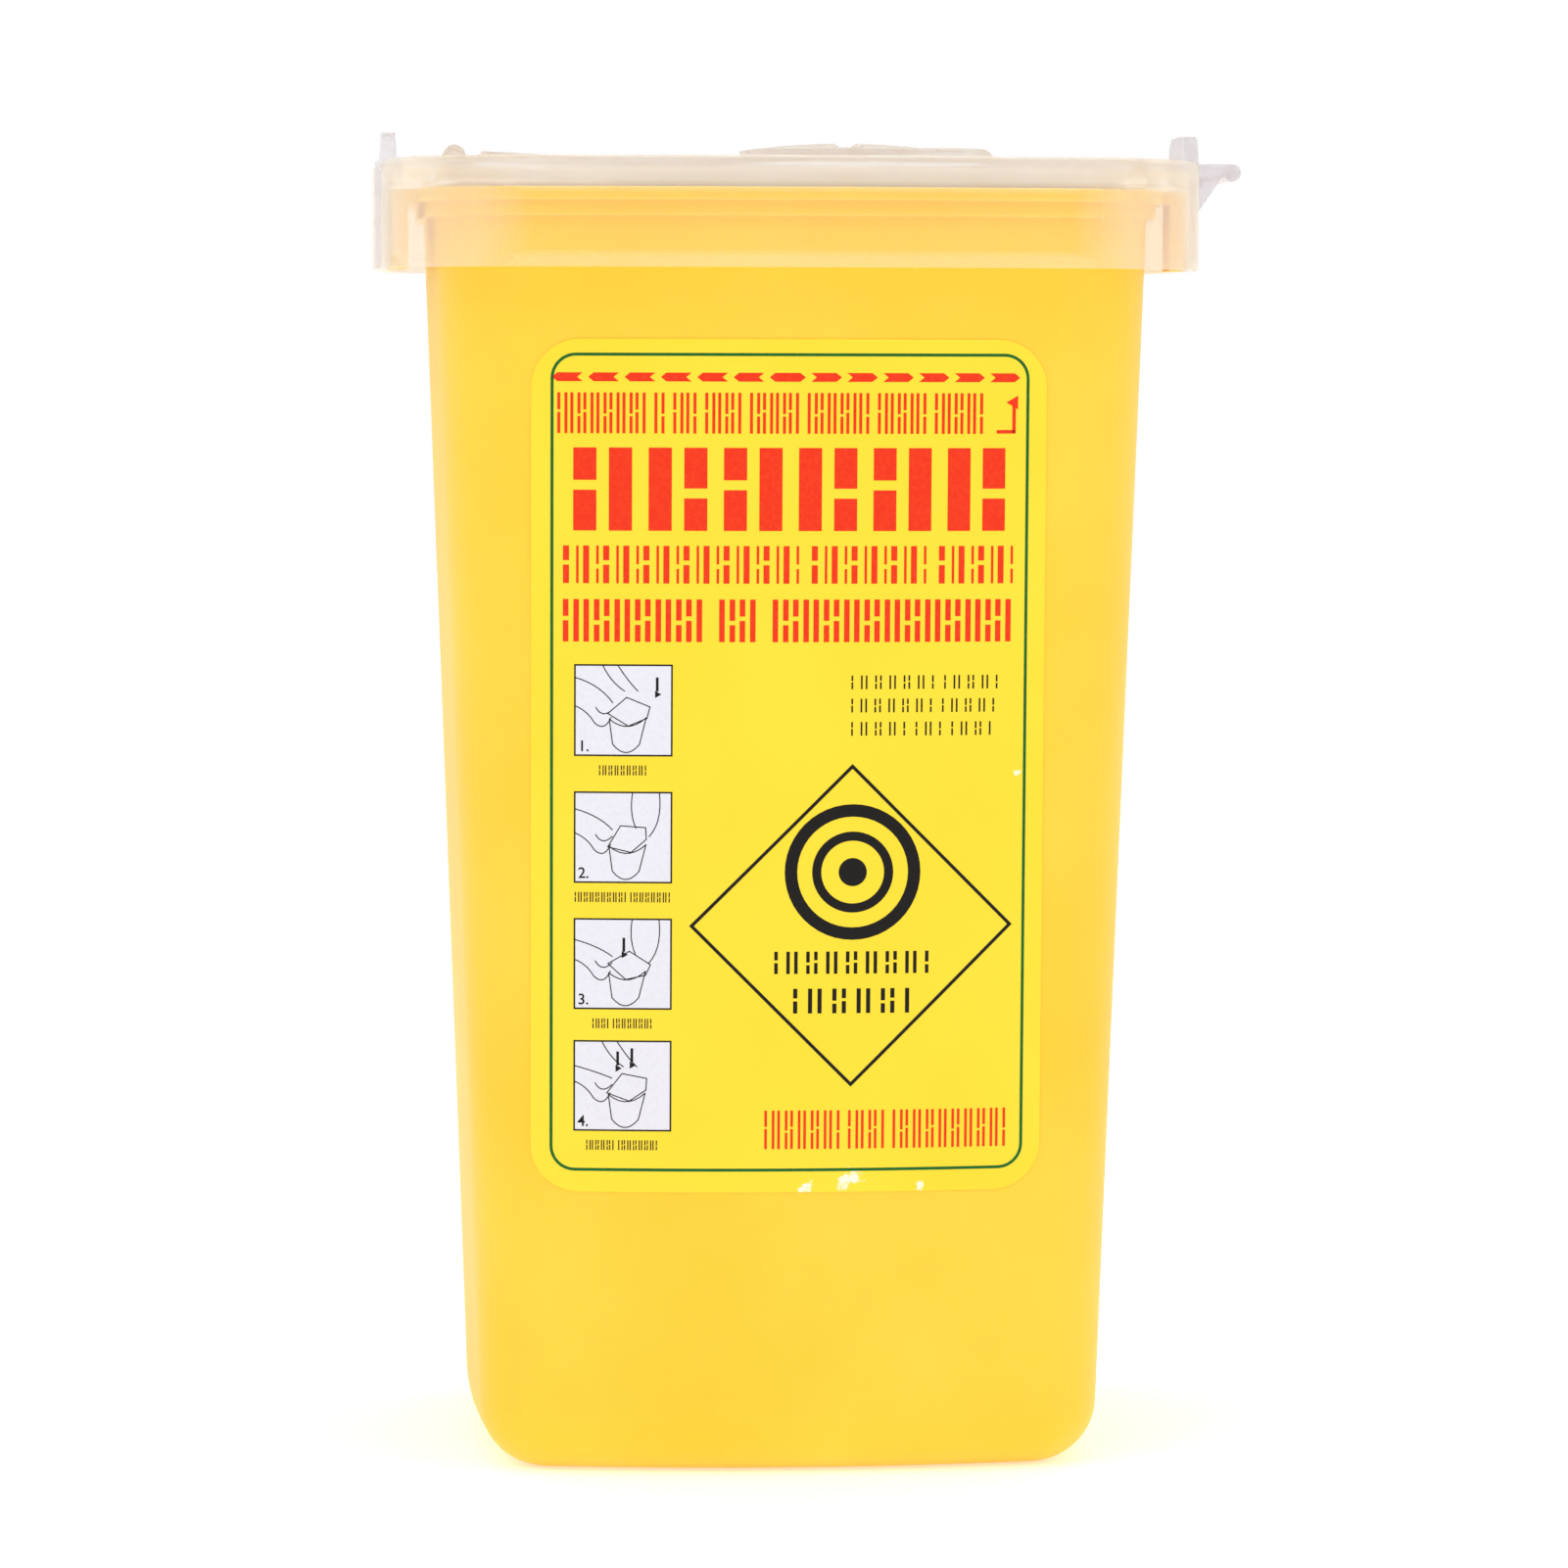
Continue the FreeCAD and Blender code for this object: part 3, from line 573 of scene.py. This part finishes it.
disc(55.45, 6.15, 0.95, sides=3, turn=-STANDING)
press_on(red, INK_FACE, 0.03, red_ink)

# %% [markdown]
# ## Black print
# A large square stands on its corner, with a plain ring and dot in it and two short rows of marks. Three
# small rows stand at its upper right.

# %% Black layer
black = new_sheet("label_black_print")
DIAMOND, DIAMOND_HALF, DIAMOND_LINE = (36.2, 69.0), 19.55, 0.41
SIGN, SIGN_RINGS, SIGN_DOT = (36.3, 62.5), ((8.2, 1.5), (4.9, 1.1)), 1.7  # rings as radius and width
disc(*DIAMOND, DIAMOND_HALF, sides=4)
hollow(DIAMOND_LINE)
for radius, width in SIGN_RINGS:
    disc(*SIGN, radius)
    hollow(width)
disc(*SIGN, SIGN_DOT)
marks(26.9, 46.1, 72.1, 74.8, (8,), stem=0.42, gap=0)
marks(29.2, 43.9, 76.6, 79.6, (5,), stem=0.5, gap=0)
for row, groups in enumerate(((6, 4), (6, 4), (4, 2, 3))):
    top = 38.8 + 2.8 * row
    marks(36.0, 54.1 - 0.4 * row, top, top + 1.65, groups, stem=0.2, gap=0.9)
press_on(black, INK_FACE, 0.03, black_ink)

# %% [markdown]
# ## Four small pictures
# Down the left side stand four white panels with thin black borders. Each shows a step with a plain line
# drawing of a cup, its lid, a pair of arms and an arrow, and a number from 1 to 4.

# %% Panels
PANEL, PANEL_LEFT = (11.75, 11.05), 2.85
PANEL_TOPS = (37.5, 52.8, 68.1, 82.9)
panels = new_sheet("label_panels")
for top in PANEL_TOPS:
    bar(PANEL_LEFT + PANEL[0] / 2, top + PANEL[1] / 2, *PANEL)
press_on(panels, PANEL_FACE, 0.02, white_ink)


# %% Line drawings
def bend(start, middle, end, steps=7):
    """Points of a smooth bend from start to end, pulled towards middle."""
    points = []
    for n in range(steps + 1):
        t = n / steps
        points.append(
            [(1 - t) ** 2 * a + 2 * t * (1 - t) * b + t * t * c for a, b, c in zip(start, middle, end)]
        )
    return points


def moved(points, du, dv):
    return [(u + du, v + dv) for u, v in points]


def turned(points, angle, about):
    """The points turned in the sheet about one of them."""
    c, s = math.cos(angle), math.sin(angle)
    return [
        (
            about[0] + (u - about[0]) * c - (v - about[1]) * s,
            about[1] + (u - about[0]) * s + (v - about[1]) * c,
        )
        for u, v in points
    ]


FINE = 0.13
drawings = new_sheet("label_drawings")
for n, top in enumerate(PANEL_TOPS):
    bar(PANEL_LEFT + PANEL[0] / 2, top + PANEL[1] / 2, *PANEL)
    hollow(0.2)
    shapes = [
        [(4.2, 6.6), (4.6, 9.6)],  # cup
        bend((4.6, 9.6), (6.2, 11.6), (7.8, 9.6)),
        [(7.8, 9.6), (8.6, 6.4)],
        bend((4.2, 6.6), (6.4, 8.4), (8.6, 6.4)),
    ]
    lid = [(4.0, 6.2), (6.0, 4.0), (8.9, 4.8), (8.7, 6.2), (6.6, 7.4), (4.0, 6.2)]
    shapes.append(turned(lid, (0.12, -0.2, 0.3, -0.08)[n], (6.4, 6.2)))
    shapes += [
        bend((0.1, 1.6 + 0.5 * n), (3.0, 2.4 + n * 0.5), (4.6, 4.6)),  # left arm and hand
        bend((0.1, 5.0), (1.6, 5.6), (2.4, 7.0)),
        bend((2.4, 7.0), (3.6, 8.2), (4.4, 6.4)),
        bend((2.6, 5.2), (3.4, 6.6), (4.6, 5.4)),
    ]
    if n in (1, 2):
        shapes += [bend((7.0, 0.1), (6.6, 2.6), (7.4, 4.4)), bend((10.2, 0.1), (10.6, 3.6), (9.0, 5.4))]
    else:
        shapes += [bend((3.4, 0.1), (4.4, 2.2), (6.0, 3.2)), bend((5.2, 0.1), (6.4, 2.0), (7.6, 3.2))]
    for shape in shapes:
        line(moved(shape, PANEL_LEFT, top), FINE)
    arrows = {0: [(9.9, 1.6)], 1: [], 2: [(6.0, 2.4)], 3: [(5.3, 1.4), (7.0, 1.0)]}[n]
    for u, v in arrows:
        bar(PANEL_LEFT + u, top + v + 0.8, 0.32, 1.7)
        disc(PANEL_LEFT + u, top + v + 2.0, 0.5, sides=3, turn=STANDING)
    groups = ((8,), (9, 7), (3, 7), (5, 7))[n]
    half = sum(groups) * 0.36
    centre = PANEL_LEFT + PANEL[0] / 2
    marks(centre - half, centre + half, top + 12.15, top + 13.35, groups, stem=0.14, gap=0.4)
bpy.ops.object.mode_set(mode="OBJECT")
for n, top in enumerate(PANEL_TOPS):
    bpy.ops.object.select_all(action="DESELECT")
    bpy.ops.object.text_add(location=at(PANEL_LEFT + 0.5, top + PANEL[1] - 0.6), rotation=(STANDING, 0, 0))
    number = bpy.context.object
    number.data.body = f"{n + 1}."
    number.data.size = 1.9 * MM
    number.data.offset = 0.02 * MM
    bpy.ops.object.convert(target="MESH")
    drawings.select_set(True)
    bpy.context.view_layer.objects.active = drawings
    bpy.ops.object.join()
bpy.ops.object.mode_set(mode="EDIT")
press_on(drawings, INK_FACE, 0.01, black_ink)

bpy.data.objects.remove(former, do_unlink=True)

# %% [markdown]
# ## Camera
# A long lens stands 0.8 m away, a little left of the middle and a little above the lid's level. The tilt,
# pan and roll are those of a camera held by a tripod head. The pan and the roll are a fraction of a degree.

# %% Camera
CAMERA_DISTANCE = 0.8
CAMERA_HEIGHT = 0.1411
HEADING = math.radians(4.0)  # how far round to the left the camera stands
TILT = math.radians(4.085)
ROLL = math.radians(0.166)
PAN = math.radians(0.077)
SENSOR, LENS = 36.0, 142.0

bpy.ops.object.select_all(action="DESELECT")
bpy.ops.object.camera_add()
camera = bpy.context.object
camera.name = "camera"
camera.data.sensor_width = SENSOR
camera.data.lens = LENS
camera.data.dof.use_dof = False
where = Vector(
    (-CAMERA_DISTANCE * math.sin(HEADING), -CAMERA_DISTANCE * math.cos(HEADING), CAMERA_HEIGHT)
)
camera.matrix_world = (
    Matrix.Translation(where)
    @ Matrix.Rotation(-HEADING - PAN, 4, "Z")
    @ Matrix.Rotation(math.pi / 2 - TILT, 4, "X")
    @ Matrix.Rotation(ROLL, 4, "Z")
)
bpy.context.scene.camera = camera

# %% [markdown]
# ## Floor
# The container stands on a plain sheet of white paper. The paper is matt, with a very fine tooth, and glows
# a little, so that it stays white up to the foot as it does under a strong studio light.

# %% Floor
bpy.ops.mesh.primitive_plane_add(size=6.0, location=(0, 0, 0))
floor = bpy.context.object
floor.name = "floor"
paper, tree, shader, place = plastic("matt_white_paper")
tooth = add(tree, "ShaderNodeTexNoise", {"Vector": place, "Scale": 1 / (0.8 * MM), "Detail": 2.0})
white = add(tree, "ShaderNodeValToRGB", {"Fac": tooth.outputs["Fac"]})
white.color_ramp.elements[0].color = srgb("f8f8f8")
white.color_ramp.elements[1].color = srgb("fcfcfc")
tree.links.new(white.outputs["Color"], shader.inputs["Base Color"])
tree.links.new(span(tree, tooth.outputs["Fac"], 0.0, 1.0, 0.85, 0.95), shader.inputs["Roughness"])
shader.inputs["Emission Color"].default_value = (1, 1, 1, 1)
shader.inputs["Emission Strength"].default_value = 0.35
floor.data.materials.append(paper)

# %% [markdown]
# ## Light
# A white room gives most of the light. The world is a little brighter to the camera than to the object, so
# the backdrop is clean white while the yellow keeps its depth. Two large soft lamps add a mild direction:
# the key from the upper left, the fill from the right.


# %% Lights
def softbox(name, place, size, power):
    """A round soft lamp that faces the middle of the container."""
    bpy.ops.object.light_add(type="AREA", location=place)
    lamp = bpy.context.object
    lamp.name = name
    lamp.data.shape = "DISK"
    lamp.data.size = size
    lamp.data.energy = power
    direction = Vector((0, 0, 0.09)) - Vector(place)
    lamp.rotation_euler = direction.to_track_quat("-Z", "Y").to_euler()


world = bpy.data.worlds.new("studio")
bpy.context.scene.world = world
world.use_nodes = True
tree = world.node_tree
tree.nodes.clear()
seen = add(tree, "ShaderNodeLightPath").outputs["Is Camera Ray"]
room = add(tree, "ShaderNodeBackground", {"Color": (1, 1, 1, 1), "Strength": 0.85})
backdrop = add(tree, "ShaderNodeBackground", {"Color": (1, 1, 1, 1), "Strength": 1.0})
sky = add(tree, "ShaderNodeMixShader", {0: seen, 1: room.outputs[0], 2: backdrop.outputs[0]})
add(tree, "ShaderNodeOutputWorld", {"Surface": sky.outputs[0]})

softbox("key_light", (-0.9, -1.1, 1.2), 0.9, 4.0)
softbox("fill_light", (1.2, -0.8, 0.7), 0.9, 2.0)
bpy.context.scene.view_settings.view_transform = "Standard"
